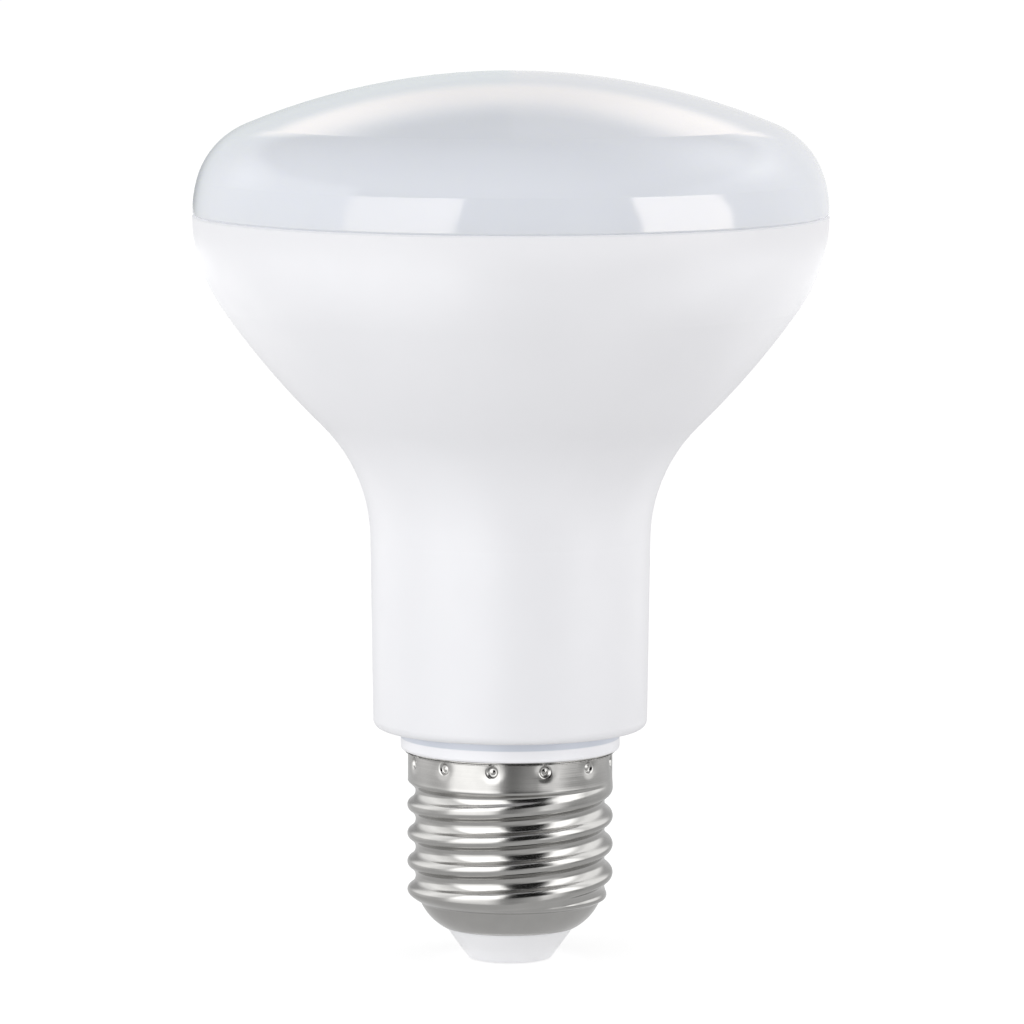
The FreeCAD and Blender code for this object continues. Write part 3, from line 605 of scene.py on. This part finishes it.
def shell_rows(sizes):
    """Radius and height of each ring of points, and whether the thread and the dimples shape it.

    The rings run down the outside, through the hole in the bowl and up the inside to the rim.
    The second value is the number of rings on the outside.
    """
    outline = bead_outline(sizes) + band_outline(sizes) + shoulder_outline(sizes) + bowl_outline(sizes)
    lining = sheet_inside(sizes, outline)
    hole = [(sizes.lip_hole, shell_low.z), (sizes.lip_hole, shell_low.z + sizes.sheet)]
    rim = [(sizes.band_radius - sizes.sheet, shell_high.z)]
    rows = [(radius, height, True) for radius, height in outline]
    rows += [(radius, height, False) for radius, height in hole]
    rows += [(radius, height, True) for radius, height in reversed(lining)]
    rows += [(radius, height, False) for radius, height in rim]
    return rows, len(outline)


def shell_mesh(sizes):
    """The rolled shell as one closed ring of faces, smooth but for its flat underside."""
    rows, outside = shell_rows(sizes)
    angles = shell_angles(sizes)
    points = []
    for radius, height, shaped in rows:
        for angle, aside in angles:
            depth = 0.0
            if shaped and height > sizes.bowl_height:
                depth = thread_depth_at(sizes, angle, height)
            if shaped and height > sizes.groove_end and aside is not None:
                depth += dimple_depth_at(sizes, aside * sizes.band_radius, height)
            pressed = radius - depth
            points.append((pressed * math.cos(angle), pressed * math.sin(angle), height))
    columns = len(angles)
    faces = []
    smooth = []
    for row in range(len(rows)):
        here = row * columns
        below = (row + 1) % len(rows) * columns
        for column in range(columns):
            beside = (column + 1) % columns
            faces.append((here + column, below + column, below + beside, here + beside))
            smooth.append(row != outside - 1)
    mesh = bpy.data.meshes.new("screw_shell_rolled")
    mesh.from_pydata(points, [], faces)
    mesh.polygons.foreach_set("use_smooth", smooth)
    mesh.update()
    return mesh


class REFLECTORLAMP_OT_screw_shell(bpy.types.Operator):
    """Rolls the nickel-plated screw shell with its rounded thread and crimp dimples"""

    bl_idname = "reflectorlamp.screw_shell"
    bl_label = "Screw shell"

    def execute(self, context):
        shell = bpy.data.objects.new("screw_shell_rolled", shell_mesh(context.scene.shell_sizes))
        context.scene.collection.objects.link(shell)
        shell.data.materials.append(nickel_plate(context.scene.visible_colours.nickel))
        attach(shell, "root")
        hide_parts("screw_shell")
        return {"FINISHED"}


class REFLECTORLAMP_OT_cover(bpy.types.Operator):
    """Gives the domed cover its opal finish"""

    bl_idname = "reflectorlamp.cover"
    bl_label = "Opal cover"

    def execute(self, context):
        dress(opal_polycarbonate(context.scene.visible_colours.opal), "diffuser_cover")
        return {"FINISHED"}


class REFLECTORLAMP_OT_housing(bpy.types.Operator):
    """Gives the housing and the sleeve that shows under it their white finishes"""

    bl_idname = "reflectorlamp.housing"
    bl_label = "Housing and sleeve"

    def execute(self, context):
        colours = context.scene.visible_colours
        dress(satin_polyester(colours.housing), "housing")
        dress(smooth_polyester(colours.sleeve), "driver_sleeve")
        return {"FINISHED"}


class REFLECTORLAMP_OT_contact(bpy.types.Operator):
    """Gives the insulator and the centre contact their finishes"""

    bl_idname = "reflectorlamp.contact"
    bl_label = "Insulator and contact"

    def execute(self, context):
        colours = context.scene.visible_colours
        dress(white_thermoset(colours.insulator), "cap_insulator")
        # Brass, pressed: warm and bright, with fine lines from the strip.
        dress(sheet_metal("Brass, pressed", colours.brass, roughness=0.25, line_width=0.1, depth=0.002),
              "centre_contact")
        return {"FINISHED"}


class REFLECTORLAMP_OT_light_board(bpy.types.Operator):
    """Gives the light board, its plate, liner, pad, screws, plug and glue their finishes"""

    bl_idname = "reflectorlamp.light_board"
    bl_label = "Light board"

    def execute(self, context):
        colours = context.scene.hidden_colours
        # Aluminium, pressed from sheet: bright grey, with soft lines from the rolls.
        dress(sheet_metal("Aluminium sheet, pressed", colours.aluminium, roughness=0.32, line_width=0.2,
                          depth=0.003), "heat_sink_liner", "mounting_plate")
        # Steel, zinc-plated: a cool, slightly cloudy shine.
        dress(sheet_metal("Steel, zinc-plated", colours.zinc, roughness=0.3, line_width=0.15, depth=0.002),
              "board_screws")
        # Silicone sealant, cured: milky and softly shiny where it was smoothed.
        dress(moulded("Silicone sealant, cured", colours.silicone, roughness=0.45, grain=1.5, depth=0.02,
                      ior=1.41), "cover_adhesive")
        # Silicone sheet with a ceramic filler: dull and slightly grainy.
        dress(moulded("Filled silicone sheet", colours.pad, roughness=0.75, grain=0.1, depth=0.01, ior=1.41),
              "thermal_pad")
        # Solder mask, printed: a clean white with a thin gloss.
        dress(solder_mask("White solder mask on aluminium", colours.board_white), "led_board")
        # Silicone resin with phosphor, dispensed: yellow, with a wet gloss.
        dress(moulded("Phosphor resin, dispensed", colours.phosphor, roughness=0.22, grain=0.08, depth=0.004,
                      ior=1.43, **{"Subsurface Weight": 0.3, "Subsurface Radius": (0.0006, 0.0004, 0.0001)}),
              "leds")
        # Nylon, moulded: cream, with a soft sheen.
        dress(moulded("Nylon, moulded", colours.nylon, roughness=0.4, grain=0.3, depth=0.003, ior=1.53),
              "led_plug")
        return {"FINISHED"}


class REFLECTORLAMP_OT_driver(bpy.types.Operator):
    """Gives the driver board, the parts on it and the wires their finishes"""

    bl_idname = "reflectorlamp.driver"
    bl_label = "Driver and wires"

    def execute(self, context):
        colours = context.scene.hidden_colours
        # Solder mask over glass fibre, printed: a deep green with a thin gloss.
        dress(solder_mask("Green solder mask on glass fibre", colours.board_green), "driver_board")
        # Shrunk polyester sleeve: dark, thin and glossy over the can.
        dress(moulded("Polyester sleeve, shrunk", colours.can, roughness=0.2, grain=3.0, depth=0.01,
                      ior=1.57), "input_capacitor", "output_capacitor")
        # Polyester case, moulded: an even, slightly dull yellow.
        dress(moulded("Polyester case, moulded", colours.film_box, roughness=0.38, grain=0.3, depth=0.004),
              "film_capacitor")
        # Cement coat, dipped: matt and lumpy.
        dress(moulded("Cement coat, dipped", colours.cement, roughness=0.8, grain=0.5, depth=0.05),
              "fuse_resistor")
        # Ferrite, sintered: a dark, hard grey with a fine grain.
        dress(moulded("Ferrite, sintered", colours.ferrite, roughness=0.5, grain=0.12, depth=0.008, ior=2.2),
              "choke_core", "transformer_core")
        # Enamelled copper, wound: close turns of wire with a varnished glow.
        dress(wound("Enamelled copper, wound", colours.copper, pitch=0.3, roughness=0.25, metallic=1.0),
              "choke_winding")
        # Polyester tape, wrapped: glossy, with an edge showing at each turn.
        dress(wound("Polyester tape, wrapped", colours.tape, pitch=2.5, roughness=0.22, metallic=0.0),
              "transformer_winding")
        # Phenolic, moulded: black, with a slight polish.
        dress(moulded("Phenolic, moulded", colours.phenolic, roughness=0.4, grain=0.2, depth=0.004, ior=1.6),
              "transformer_bobbin")
        # Epoxy, moulded round the chip: black and finely matt.
        dress(moulded("Epoxy, moulded", colours.epoxy, roughness=0.55, grain=0.1, depth=0.006, ior=1.55),
              "bridge_rectifier", "driver_chip", "output_diode")
        # Vinyl, extruded on wire: smooth, with a soft shine along its length.
        for tone, shade, names in (
                ("red", colours.wire_red, ("live_wire", "led_wire_positive")),
                ("black", colours.wire_black, ("led_wire_negative",)),
                ("white", colours.wire_white, ("neutral_wire",))):
            dress(moulded("Vinyl, extruded, " + tone, shade, roughness=0.35, grain=0.6, depth=0.003), *names)
        return {"FINISHED"}


# The point of the lamp round which the studio is laid out.
TARGET = Vector((0, 0, 70 * MM))
# Radius and height of the middle of the screw cap, in millimetres.
CAP_RADIUS, CAP_MIDDLE = 12.5, 16.0


def direction(azimuth, elevation):
    """Unit vector at an azimuth from the camera's side, to the right, and an elevation."""
    turn, rise = math.radians(azimuth), math.radians(elevation)
    return Vector((math.cos(rise) * math.sin(turn), -math.cos(rise) * math.cos(turn), math.sin(rise)))


def lamp(name, azimuths, elevations, distance, radiance, tint):
    """A flat lamp for matt surfaces. It fills a span of azimuths and elevations as the object sees it."""
    middle = direction(sum(azimuths) / 2, sum(elevations) / 2)
    light = bpy.data.lights.new(name, "AREA")
    light.shape = "RECTANGLE"
    light.size = 2 * distance * math.tan(math.radians(azimuths[1] - azimuths[0]) / 2)
    light.size_y = 2 * distance * math.tan(math.radians(elevations[1] - elevations[0]) / 2)
    light.energy = radiance * math.pi * light.size * light.size_y
    light.color = tint
    holder = bpy.data.objects.new(name, light)
    holder.location = TARGET + middle * distance
    holder.rotation_euler = middle.to_track_quat("Z", "Y").to_euler()
    holder.visible_glossy = False
    bpy.context.scene.collection.objects.link(holder)


def reflected(name, columns, rows, place_at, shade_at):
    """A sheet that only reflections show, with its radiance painted point by point."""
    shares = [(column / columns, row / rows) for row in range(rows + 1) for column in range(columns + 1)]
    faces = []
    for row in range(rows):
        for column in range(columns):
            corner = row * (columns + 1) + column
            faces.append((corner, corner + 1, corner + columns + 2, corner + columns + 1))
    mesh = bpy.data.meshes.new(name)
    mesh.from_pydata([place_at(*share) for share in shares], [], faces)
    paint = mesh.attributes.new("radiance", "FLOAT_COLOR", "POINT")
    for spot, share in zip(paint.data, shares):
        spot.color = opaque(shade_at(*share))
    piece = bpy.data.objects.new(name, mesh)
    bpy.context.scene.collection.objects.link(piece)
    material, tree = new_material(name)[:2]
    painted = add(tree, "Attribute", attribute_name="radiance")
    close_material(tree, add(tree, "Emission", {"Color": painted.outputs["Color"], "Strength": 1.0}))
    material.cycles.emission_sampling = "NONE"
    mesh.materials.append(material)
    piece.visible_camera = False
    piece.visible_diffuse = False
    piece.visible_shadow = False


def along(table, place):
    """The value at a place in a table of places and values, running smoothly between them."""
    for (low, first), (high, second) in zip(table, table[1:]):
        if place <= high:
            return first + (second - first) * smoothstep(low, high, place)
    return table[-1][1]


def inside(value, low, high, soft):
    """One inside a span and nothing outside it, with soft edges."""
    return smoothstep(low - soft, low + soft, value) * (1 - smoothstep(high - soft, high + soft, value))


def blob(across, up, wide, high):
    """One in the middle of a soft patch, falling to nothing outside it."""
    return math.exp(-(across / wide) ** 2 - (up / high) ** 2)


# Radiance of the side walls by azimuth. Azimuths run to the right from the camera's side, and all
# azimuths and elevations of the studio are in degrees.
SIDE_WALLS = ((-125, 1.1), (-63, 1.1), (-60, 0.04), (46, 0.04), (85, 1.2), (125, 1.3))
# Soft bright patches on the walls: azimuth, elevation, width, height and radiance.
GLOWS = ((-117, 22, 14, 9, 0.5), (113, 31, 16, 11, 0.5), (118, 45, 40, 18, 1.4))


def wall_shade(settings, azimuth, elevation):
    """Radiance of the walls and of the ceiling over them.

    The walls have a dark patch low at the back left, a faint light in front of the right softbox and
    the soft bright patches. The ceiling is lighter near the walls.
    """
    wall = settings.back_wall
    level = along(((-180, wall), (-150, wall)) + SIDE_WALLS + ((150, 1.2 * wall), (180, wall)), azimuth)
    level -= 0.6 * wall * blob(azimuth + 165, elevation + 1, 11, 9)
    level += 0.3 * inside(azimuth, 20, 46, 4)
    ceiling = settings.dark_room + 0.33 * (1 - smoothstep(36, 75, elevation))
    level += (ceiling - level) * smoothstep(28, 37, elevation)
    for aside, above, wide, high, radiance in GLOWS:
        level += radiance * blob(azimuth - aside, elevation - above, wide, high)
    return level


def back_panel(azimuth, elevation):
    """Share of the panel behind the lamp in a direction, and its strength there.

    Its right half is brighter, ends at a sharp edge that leans, and reaches a little higher.
    """
    behind = abs(azimuth)
    middle = smoothstep(166, 178, behind)
    if azimuth > 0:
        edge = 162 + 0.3 * (elevation - 25)
        share = inside(behind, edge, 200, 0.6) * (1 - smoothstep(33 - 3 * middle, 43, elevation))
        strength = 1.5 - 0.5 * middle
    else:
        share = smoothstep(158, 166, behind) * (1 - smoothstep(30, 43, elevation))
        strength = 1.35 - 0.35 * middle
    return share * smoothstep(19, 26, elevation), strength


def right_softbox(azimuth, elevation):
    """Share of the right softbox in a direction. Its edges lean, and its far upper corner is round."""
    near_edge = 47.5 - 0.1 * elevation
    top = 28 - 0.22 * (azimuth - 50)
    corner, corner_foot, corner_width = 74, 9, 11.5
    if azimuth > corner:
        round_share = math.sqrt(max(1 - ((azimuth - corner) / corner_width) ** 2, 0))
        top -= (top - corner_foot) * (1 - round_share)
    return inside(azimuth, near_edge, 85.5, 1.0) * (1 - smoothstep(-1.0, 1.0, elevation - top))


def left_softbox(azimuth, elevation):
    """Share of the left softbox in a direction. Its edges lean, and its far edge is soft."""
    near_edge = -20.5 + 0.15 * elevation
    top = 26.8 + 0.117 * (azimuth + 17)
    share = smoothstep(-63.5, -59, azimuth) * (1 - smoothstep(-1, 1, azimuth - near_edge))
    return share * (1 - smoothstep(-1.5, 1.5, elevation - top))


def room_shade(settings, azimuth, elevation):
    """Colour of the studio in a direction, as the cover mirrors it.

    The softboxes and the back panel are warm, and the wall at the back left is cool.
    """
    level = wall_shade(settings, azimuth, elevation)
    panel, strength = back_panel(azimuth, elevation)
    right = right_softbox(azimuth, elevation)
    left = left_softbox(azimuth, elevation)
    level += (settings.back_panel * strength - level) * panel
    level += (settings.right_softbox - level) * right
    level += (settings.left_softbox * (1 + 0.006 * (azimuth + 40)) - level) * left
    warm = 0.09 * max(right, left, panel)
    cool = 0.05 * smoothstep(130, 165, -azimuth) * (1 - panel)
    return (level * (1 + warm - cool), level, level * (1 - warm))


# Radiance round the screw cap by azimuth, in degrees: of the panels that stand on the table, and of the
# table's far part. Close to the cap the table is even.
STANDING_PANELS = (
    (-180, 0.8), (-150, 0.5), (-124, 1.6), (-105, 1.9), (-86, 1.6), (-72, 1.3), (-60, 2.8), (-14, 2.8),
    (-5, 0.15), (2, 0.02), (36, 0.02), (44, 0.8), (52, 2.7), (72, 2.7), (88, 1.4), (104, 1.8), (122, 1.7),
    (145, 0.6), (180, 0.8))
FAR_TABLE = (
    (-180, 0.6), (-136, 0.75), (-108, 0.94), (-88, 0.78), (-76, 0.93), (-60, 2.0), (-47, 2.1), (-24, 2.0),
    (-4, 0.42), (1, 0.36), (27, 0.74), (37, 1.55), (43, 1.45), (72, 0.48), (100, 0.64), (125, 0.7),
    (180, 0.6))


def table_shade(settings, azimuth, elevation):
    """Radiance of the table and of the panels on it, as the screw cap mirrors them."""
    standing = along(STANDING_PANELS, azimuth)
    far = along(FAR_TABLE, azimuth)
    level = settings.table + (far - settings.table) * smoothstep(-29, -10, elevation)
    level += (standing - level) * smoothstep(-5, 6, elevation)
    return (level, level, level)


# The painted room: its distance in metres, the elevation of its foot, and its height in degrees, with a
# row and a column of faces for each degree.
ROOM_DISTANCE, ROOM_FOOT, ROOM_HEIGHT = 1.7, -7, 97
# The painted table's corners from the cap outwards, up and back: radius and height in millimetres.
TABLE_CORNERS = ((6.6, 0.6), (32, 0.6), (100, 0.6), (100, 45), (50, 88))
TABLE_COLUMNS, TABLE_ROWS = 240, 48


def around(share):
    """Azimuth at a share of the way round, which starts and ends behind the lamp."""
    return 360 * share - 180


def table_spot(up):
    """Radius and height at a share of the way along the table's corners."""
    legs = len(TABLE_CORNERS) - 1
    leg = min(int(up * legs), legs - 1)
    (first_radius, first_height), (last_radius, last_height) = TABLE_CORNERS[leg:leg + 2]
    share = up * legs - leg
    radius = first_radius + (last_radius - first_radius) * share
    height = first_height + (last_height - first_height) * share
    return radius, height


def studio_reflections(settings):
    """The room round the cover and the table round the screw cap, for reflections only."""
    def room_place(across, up):
        return TARGET + direction(around(across), ROOM_HEIGHT * up + ROOM_FOOT) * ROOM_DISTANCE

    def room_paint(across, up):
        return room_shade(settings, around(across), ROOM_HEIGHT * up + ROOM_FOOT)

    def table_place(across, up):
        radius, height = table_spot(up)
        flat = direction(around(across), 0)
        return Vector((flat.x * radius, flat.y * radius, height)) * MM

    def table_paint(across, up):
        radius, height = table_spot(up)
        elevation = math.degrees(math.atan2(height - CAP_MIDDLE, radius - CAP_RADIUS))
        return table_shade(settings, around(across), elevation)

    reflected("room", 360, ROOM_HEIGHT, room_place, room_paint)
    reflected("table", TABLE_COLUMNS, TABLE_ROWS, table_place, table_paint)


def shown_rays(tree):
    """One for camera, glossy and transmitted rays, and nothing for the rest."""
    path = add(tree, "LightPath").outputs
    glossy = add(tree, "Math", {0: path["Is Camera Ray"], 1: path["Is Glossy Ray"]}, operation="MAXIMUM")
    shown = add(
        tree, "Math", {0: glossy.outputs[0], 1: path["Is Transmission Ray"]}, operation="MAXIMUM")
    return shown.outputs[0]


def white_world(fill):
    """A white background, and a plain fill for diffuse light."""
    world = bpy.data.worlds.new("Pale studio")
    bpy.context.scene.world = world
    world.use_nodes = True
    tree = world.node_tree
    tree.nodes.clear()
    strength = add(tree, "MapRange", {"Value": shown_rays(tree), "To Min": fill, "To Max": 1.0})
    back = add(tree, "Background", {"Color": (1, 1, 1, 1), "Strength": strength.outputs["Result"]})
    add(tree, "OutputWorld", {"Surface": back.outputs[0]})


def pale_floor(lift, glow):
    """A round white floor that keeps the lamp's soft shadow."""
    corners = 96
    radius = 6.0
    drop = -0.05 * MM
    grey = (0.6, 0.6, 0.6)
    turns = [2 * math.pi * step / corners for step in range(corners)]
    points = [(radius * math.cos(turn), radius * math.sin(turn), drop) for turn in turns]
    mesh = bpy.data.meshes.new("floor")
    mesh.from_pydata(points, [], [tuple(range(corners))])
    floor = bpy.data.objects.new("floor", mesh)
    bpy.context.scene.collection.objects.link(floor)
    material, tree, place = new_material("Matt white floor")
    strength = add(tree, "MapRange", {"Value": shown_rays(tree), "To Min": glow, "To Max": lift})
    shine = add(tree, "Emission", {"Color": (1, 1, 1, 1), "Strength": strength.outputs["Result"]})
    matt = add(tree, "BsdfDiffuse", {"Color": mottled(tree, place, grey, size=0.4, depth=0.01)})
    close_material(tree, add(tree, "AddShader", {0: shine.outputs[0], 1: matt.outputs[0]}))
    mesh.materials.append(material)


def photo_camera(settings):
    """The camera at the photograph's place, angle and framing."""
    lens = bpy.data.cameras.new("camera")
    lens.sensor_width = 36
    lens.lens = settings.camera_lens
    lens.shift_x = settings.camera_shift
    lens.clip_end = 50
    holder = bpy.data.objects.new("camera", lens)
    bpy.context.scene.collection.objects.link(holder)
    place = Matrix.Translation((0, -settings.camera_distance, settings.camera_height))
    tilt = Matrix.Rotation(math.pi / 2 - settings.camera_tilt, 4, "X")
    holder.matrix_world = place @ tilt @ Matrix.Rotation(settings.camera_roll, 4, "Z")
    bpy.context.scene.camera = holder


class REFLECTORLAMP_OT_stage(bpy.types.Operator):
    """Sets up the pale floor, the lamps, the painted reflections and the camera"""

    bl_idname = "reflectorlamp.stage"
    bl_label = "Studio"

    def execute(self, context):
        settings = context.scene.studio_settings
        white_world(settings.fill)
        pale_floor(settings.floor_lift, settings.floor_glow)
        lamp("lamp_left", azimuths=(-70, -24), elevations=(-12, 29), distance=1.2,
             radiance=settings.left_lamp, tint=(0.98, 0.99, 1.0))
        lamp("lamp_right", azimuths=(48, 90), elevations=(-12, 28), distance=1.2,
             radiance=settings.right_lamp, tint=(1.0, 0.99, 1.0))
        studio_reflections(settings)
        photo_camera(settings)
        return {"FINISHED"}


class REFLECTORLAMP_PT_panel(bpy.types.Panel):
    """Lists the steps that build the lamp and its studio"""

    bl_idname = "REFLECTORLAMP_PT_panel"
    bl_label = "Reflector lamp"
    bl_space_type = "VIEW_3D"
    bl_region_type = "UI"
    bl_category = "Lamp"

    def draw(self, context):
        for step in STEPS:
            self.layout.operator(step.bl_idname)
        for group in ("shell_sizes", "visible_colours", "hidden_colours", "studio_settings"):
            settings = getattr(context.scene, group)
            for name in settings.__annotations__:
                self.layout.prop(settings, name)


GROUPS = (ShellSizes, VisibleColours, HiddenColours, StudioSettings)
STEPS = (
    REFLECTORLAMP_OT_screw_shell,
    REFLECTORLAMP_OT_cover,
    REFLECTORLAMP_OT_housing,
    REFLECTORLAMP_OT_contact,
    REFLECTORLAMP_OT_light_board,
    REFLECTORLAMP_OT_driver,
    REFLECTORLAMP_OT_stage,
)


def register():
    """Adds the classes to Blender, and their settings to each scene."""
    for item in GROUPS + STEPS + (REFLECTORLAMP_PT_panel,):
        bpy.utils.register_class(item)
    bpy.types.Scene.shell_sizes = PointerProperty(type=ShellSizes)
    bpy.types.Scene.visible_colours = PointerProperty(type=VisibleColours)
    bpy.types.Scene.hidden_colours = PointerProperty(type=HiddenColours)
    bpy.types.Scene.studio_settings = PointerProperty(type=StudioSettings)


def unregister():
    """Takes the settings and the classes out again."""
    del bpy.types.Scene.studio_settings
    del bpy.types.Scene.hidden_colours
    del bpy.types.Scene.visible_colours
    del bpy.types.Scene.shell_sizes
    for item in reversed(GROUPS + STEPS + (REFLECTORLAMP_PT_panel,)):
        bpy.utils.unregister_class(item)


def main():
    """Builds the lamp's looks and its studio."""
    register()
    bpy.ops.reflectorlamp.screw_shell()
    bpy.ops.reflectorlamp.cover()
    bpy.ops.reflectorlamp.housing()
    bpy.ops.reflectorlamp.contact()
    bpy.ops.reflectorlamp.light_board()
    bpy.ops.reflectorlamp.driver()
    bpy.ops.reflectorlamp.stage()
    bpy.context.scene.view_settings.view_transform = "Standard"


if __name__ == "__main__":
    main()
